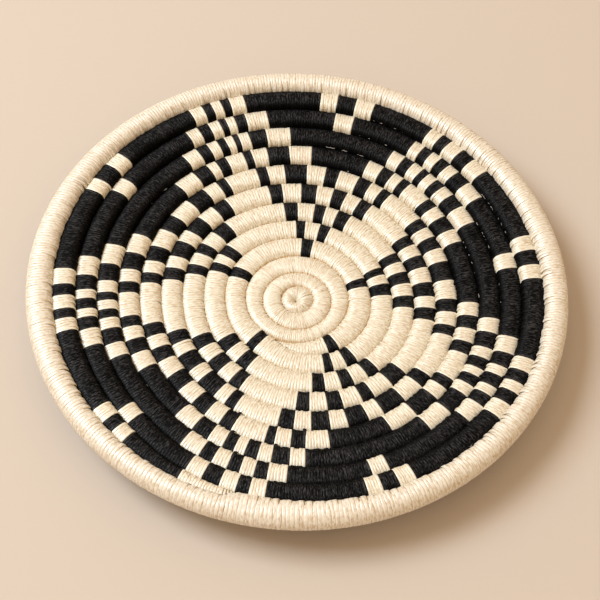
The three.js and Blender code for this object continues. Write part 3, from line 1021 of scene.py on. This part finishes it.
@dataclass
class Medallion(SubAssembly):
    """The knot in the middle and the two thin rounds round it."""

    coil: MedallionCoil = field(default_factory=MedallionCoil)
    winding: Winding = field(
        default_factory=lambda: Winding(
            seed=21, thread_width=1.1 * MM, slow_noise=0.15 * MM, size_noise=0.01,
            shade_noise=0.9,
        )
    )
    first_seed: int = 31
    bundle_step: float = 4.0
    knot_middle: tuple[float, float] = (0.5 * MM, -1.2 * MM)
    knot_radius: float = 9.9 * MM
    knot_height: float = 9.4 * MM
    knot_base: float = 0.3 * MM
    knot_loop: ThreadLoop = ThreadLoop(wedge=0.87, squareness=1.9)
    knot_threads: int = 52
    knot_overlap: float = 0.92
    knot_lean: float = math.radians(4.0)
    knot_place_noise: float = 0.2
    knot_reach_noise: float = 0.012
    knot_height_noise: float = 0.018
    knot_shade: float = 1.3
    knot_seeds: tuple[int, int] = (5, 40)
    pinhole: tuple[float, float] = (-0.8 * MM, -2.2 * MM)
    pinhole_radius: float = 0.3 * MM

    def build(self) -> None:
        """Make the knot, the wrapping of both rounds and the bundle inside."""
        self.build_knot()
        for number in range(self.coil.rounds):
            inside = self.coil.inner_radius + number * self.coil.pitch()
            coil = MedallionRound(inner_radius=inside)
            turn, width = coil.wrap_angles(self.winding.thread_width, np.zeros(0))
            plain = np.zeros(len(turn), bool)
            loops = self.winding.loops(coil, turn, width, plain, np.zeros(0))
            node = f"medallion_round_{number + 1}_wrap"
            self.shop.wind_round(f"{node}_cream", loops, Thread.CREAM, node,
                                 self.first_seed + number)
        self.shop.fill("medallion_grass", "medallion_core", self.coil, self.bundle_step)

    def build_knot(self) -> None:
        """Make the loops of thread that all pass through the pinhole in the middle."""
        place_seed, tree_seed = self.knot_seeds
        rng = np.random.default_rng(place_seed)
        count = self.knot_threads
        number = np.arange(count) + rng.normal(0, self.knot_place_noise, count)
        angle = number * 2 * math.pi / count
        around = np.stack([np.cos(angle), np.sin(angle)], axis=-1)
        outer = np.array(self.knot_middle) + self.knot_radius * around
        inner = np.array(self.pinhole) + self.pinhole_radius * around
        height = np.full((count, 1), self.knot_base + self.knot_height / 2)
        centres = np.hstack([(outer + inner) / 2, height])
        reach = outer - inner
        half = np.linalg.norm(reach, axis=1) / 2 * rng.normal(1.0, self.knot_reach_noise, count)
        yaw = np.arctan2(reach[:, 1], reach[:, 0])
        length = np.full(count, 2 * math.pi * self.knot_radius / count * self.knot_overlap)
        high = self.knot_height / 2 * rng.normal(1.0, self.knot_height_noise, count)
        bright = rng.uniform(-self.knot_shade, self.knot_shade, count)
        plain = np.zeros(count)
        loops = Loops(centres, yaw, half, high, length, plain, bright, plain + 1.0)
        cream = self.shop.finishes["cream_thread"]
        piece = self.shop.winding.wind("centre_knot_threads", loops, self.knot_loop, cream,
                                       self.knot_lean, tree_seed)
        self.shop.hand_over(piece, "cream_thread", "centre_knot")


@dataclass
class StarCoil(SubAssembly):
    """The nine rounds of the dish, wrapped in two threads that draw the star."""

    coil: MainCoil = field(default_factory=MainCoil)
    winding: Winding = field(default_factory=Winding)
    first_seed: int = 52
    tail_seed: int = 90
    bundle_step: float = 5.0
    end_thickness: float = 0.16 * MM
    end_height: float = 4.2 * MM
    end_inset: float = 0.65 * MM
    end_wave: float = 0.15 * MM
    end_wave_rate: float = 1.9
    end_step: float = 0.5
    turn_wave: float = 0.32
    turn_wave_start: float = 45.0

    def placed(self, angle: Array) -> Array:
        """Listed angles, each moved a little by one slow wave round the basket."""
        return angle - self.turn_wave * np.sin(np.radians(angle + self.turn_wave_start))

    def build(self) -> None:
        """Make the wrapping of each round in both threads, the tail and the bundle."""
        changes = [FULL_TURN * lap + np.array(row) for lap, row in enumerate(BLACK_STRETCHES)]
        edges = self.placed(np.concatenate(changes))
        turn, width = self.coil.wrap_angles(self.winding.thread_width, edges)
        black = np.searchsorted(edges, turn) % 2 == 1
        long_stitches = self.placed(
            np.array([FULL_TURN * (lap - 1) + angle for lap, angle in LONG_STITCHES])
        )
        loops = self.winding.loops(self.coil, turn, width, black, long_stitches)
        number = self.coil.round_of(turn)
        tail = (turn > edges[-1]) & ~black
        for lap in range(self.coil.rounds):
            here = (number == lap + 1) & ~tail
            node = f"round_{lap + 1}_wrap"
            for thread, wanted in ((Thread.CREAM, ~black), (Thread.BLACK, black)):
                self.shop.wind_round(f"{node}_{thread.value}", loops.chosen(here & wanted),
                                     thread, node, self.first_seed + 2 * lap)
        self.shop.wind_round("tail_wrap_cream", loops.chosen(tail), Thread.CREAM, "tail_wrap",
                             self.tail_seed)
        self.build_loose_ends()
        self.shop.fill("foundation_grass", "foundation_core", self.coil, self.bundle_step)

    def build_loose_ends(self) -> None:
        """Make the short ends of cream thread that lie in the joints between black rounds."""
        for index, (lap, first, last) in enumerate(LOOSE_ENDS):
            turn = np.linspace(first, last, max(3, int((last - first) / self.end_step) + 2))
            turn = self.placed(turn + FULL_TURN * (lap - 1))
            plain = self.coil.outside_line(turn)
            wave = self.end_wave * np.sin(np.arange(len(turn)) * self.end_wave_rate + index)
            radius = self.coil.handmade.stretched(plain, turn) + wave - self.end_inset
            points = on_circle(radius, turn, self.coil.middle_height(plain) + self.end_height)
            thickness = np.full(len(turn), self.end_thickness)
            name = f"loose_end_{index + 1}"
            fibre = self.shop.finishes["loose_thread"]
            piece = self.shop.bundles.sweep(name, points, thickness, False, fibre)
            self.shop.hand_over(piece, "cream_thread")


@dataclass
class Rim(SubAssembly):
    """The thicker ring round the edge, with ribs of thread stitched into the last round."""

    coil: MainCoil = field(default_factory=MainCoil)
    outer_radius: float = 152.5 * MM
    middle_height: float = 25.68 * MM
    height: float = 14.0 * MM
    rib_loop: ThreadLoop = ThreadLoop(sides=20, crest=0.2, relief=0.034, squareness=2.2)
    rib_width: float = 1.85 * MM
    wider_rib: float = 0.5 * MM
    widest_angle: float = 270.0
    widest_spread: float = 45.0
    rib_step: float = 0.05
    overlap_range: tuple[float, float] = (1.29, 1.37)
    front_overlap: float = 0.18
    relief_share: float = 0.033
    inset: float = 0.15 * MM
    tooth_reach: float = 1.1 * MM
    least_tooth: float = 0.2
    tooth_power: float = 1.5
    unevenness: float = 0.05 * MM
    lean: float = math.radians(1.0)
    lean_unevenness: float = math.radians(0.35)
    bundle_step: float = 5.0
    seeds: tuple[int, int] = (77, 95)

    def inside_line(self, turn: Array) -> Array:
        """Line along which the rim meets the coil's outermost turn.

        Args:
            turn: Angles round the basket, degrees.

        Returns:
            The radius at each angle, metres.
        """
        place = np.mod(turn, FULL_TURN)
        last = FULL_TURN * (self.coil.rounds - 1)
        tail_end = self.coil.tail_start - last + self.coil.tail_sweep
        whole = np.where(place <= tail_end, last, last - FULL_TURN)
        return self.coil.handmade.stretched(self.coil.outside_line(place + whole), turn)

    def ribs(self) -> tuple[Array, Array]:
        """Spread the ribs of the rim, which are widest at the front.

        Returns:
            The angle of each rib, degrees, and its width, metres.
        """
        fine = np.arange(0.0, FULL_TURN, self.rib_step)
        away = (fine - self.widest_angle) / self.widest_spread
        width = self.rib_width + self.wider_rib * np.exp(-(away**2))
        number = np.cumsum(math.radians(self.rib_step) * self.outer_radius / width)
        count = int(number[-1])
        turn = np.interp((np.arange(count) + 0.5) * number[-1] / count, number, fine)
        return turn, np.interp(turn, fine, width)

    def build(self) -> None:
        """Make the rim's thread and the bundle inside it."""
        rib_seed, tree_seed = self.seeds
        rng = np.random.default_rng(rib_seed)
        turn, width = self.ribs()
        count = len(turn)
        size = rng.uniform(-self.unevenness, self.unevenness, count)
        teeth = self.tooth_reach * rng.uniform(self.least_tooth, 1.0, count) ** self.tooth_power
        outside = self.outer_radius + size
        inside = self.inside_line(turn) - self.inset - teeth
        base = 1.0 - self.relief_share
        wider = (width - self.rib_width) / self.wider_rib
        length = width * (rng.uniform(*self.overlap_range, count) + self.front_overlap * wider)
        plain = np.zeros(count)
        loops = Loops(on_circle((outside + inside) / 2, turn, self.middle_height),
                      np.radians(turn), (outside - inside) / 2 * base,
                      (self.height / 2 + size) * base, length, plain, plain, plain + 1.0)
        piece = self.shop.winding.wind("rim_wrap_cream", loops, self.rib_loop,
                                       self.shop.finishes["rim_thread"], self.lean, tree_seed,
                                       self.lean_unevenness)
        self.shop.hand_over(piece, "cream_thread", "rim_wrap")
        ring = np.arange(0.0, FULL_TURN, self.bundle_step)
        inside = self.inside_line(ring)
        points = on_circle((inside + self.outer_radius) / 2, ring, self.middle_height)
        radius = (self.outer_radius - inside) / 2 * self.shop.bundle_share
        grass = self.shop.finishes["grass_bundle"]
        piece = self.shop.bundles.sweep("rim_grass", points, radius, True, grass)
        self.shop.hand_over(piece, "grass_bundle", "rim_core")


@dataclass(frozen=True)
class Studio:
    """The floor, the light and the camera, as in the photograph."""

    floor_colour: Colour = (0.632, 0.564, 0.507)
    floor_half: float = 4.0
    floor_roughness: float = 0.9
    elevation: float = 56.007
    roll: float = 3.354
    focal_pixels: float = 1485.5
    image_pixels: float = 600.0
    sensor_width: float = 36.0
    distance: float = 0.83875
    aim_height: float = 0.02568
    aim_right: float = 0.002006
    aim_up: float = -0.013045
    lamp_place: tuple[float, float, float] = (-1.45, 0.2, 1.9)
    lamp_size: float = 1.1
    lamp_power: float = 45.0
    lamp_colour: Colour = (0.905, 0.988, 1.035)
    sheen_power: float = 145.0
    sheen_colour: Colour = (0.86, 0.94, 1.0)
    fill_strength: float = 0.745
    fill_colour: Colour = (1.0, 0.735, 0.475)

    def build(self) -> None:
        """Make the floor, the light and the camera."""
        self.build_floor()
        self.build_light()
        self.build_camera()
        bpy.context.scene.view_settings.view_transform = "Standard"

    def build_floor(self) -> None:
        """Make the plain pale floor that the basket stands on."""
        half = self.floor_half
        mesh = bpy.data.meshes.new("floor")
        mesh.from_pydata([(-half, -half, 0), (half, -half, 0), (half, half, 0), (-half, half, 0)],
                         [], [(0, 1, 2, 3)])
        material, _, shader = new_finish("floor")
        shader.inputs["Base Color"].default_value = (*self.floor_colour, 1.0)
        shader.inputs["Roughness"].default_value = self.floor_roughness
        shader.inputs["Specular IOR Level"].default_value = 0.0
        mesh.materials.append(material)
        linked("floor", mesh)

    def build_light(self) -> None:
        """Make a large lamp at the upper left, its sheen on the thread, and a warm fill."""
        self.add_lamp("window", self.lamp_power, self.lamp_colour)
        sheen = self.add_lamp("sheen", self.sheen_power, self.sheen_colour)
        sheen.visible_diffuse = False
        world = bpy.data.worlds.new("world")
        world.use_nodes = True
        sky = world.node_tree.nodes["Background"]
        sky.inputs["Color"].default_value = (*self.fill_colour, 1.0)
        sky.inputs["Strength"].default_value = self.fill_strength
        bpy.context.scene.world = world

    def add_lamp(self, name: str, power: float, colour: Colour) -> Object:
        """Hang a square lamp at the lamp's place, turned to the basket.

        Args:
            name: Name of the lamp.
            power: Its power, watts.
            colour: Its colour.

        Returns:
            The lamp.
        """
        lamp = bpy.data.lights.new(name, "AREA")
        lamp.energy = power
        lamp.size = self.lamp_size
        lamp.color = colour
        holder = linked(name, lamp)
        place = Vector(self.lamp_place)
        turned = place.to_track_quat("Z", "Y").to_matrix().to_4x4()
        holder.matrix_world = Matrix.Translation(place) @ turned
        return holder

    def build_camera(self) -> None:
        """Make the camera, fitted to the basket's outline in the photograph."""
        angle, roll = math.radians(self.elevation), math.radians(self.roll)
        back = Vector((0.0, -math.cos(angle), math.sin(angle)))
        place = Vector((0.0, 0.0, self.aim_height)) + back * self.distance
        side = Vector((1.0, 0.0, 0.0))
        forward = -back + side * self.aim_right + side.cross(-back) * self.aim_up
        forward.normalize()
        right = forward.cross(Vector((0.0, 0.0, 1.0))).normalized()
        up = right.cross(forward)
        rolled_right = right * math.cos(roll) + up * math.sin(roll)
        rolled_up = up * math.cos(roll) - right * math.sin(roll)
        matrix = Matrix((rolled_right, rolled_up, -forward)).transposed().to_4x4()
        matrix.translation = place
        camera = bpy.data.cameras.new("camera")
        camera.sensor_width = self.sensor_width
        camera.lens = self.focal_pixels * self.sensor_width / self.image_pixels
        holder = linked("camera", camera)
        holder.matrix_world = matrix
        bpy.context.scene.camera = holder


def main() -> None:
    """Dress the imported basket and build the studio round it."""
    logging.basicConfig(level=logging.INFO, format="%(name)s: %(message)s")
    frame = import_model()
    log.info("%d solids loaded", len(frame["nodes"]))
    shop = Workshop()
    for part in (Medallion, StarCoil, Rim):
        part(shop).build()
    Studio().build()


if __name__ == "__main__":
    main()
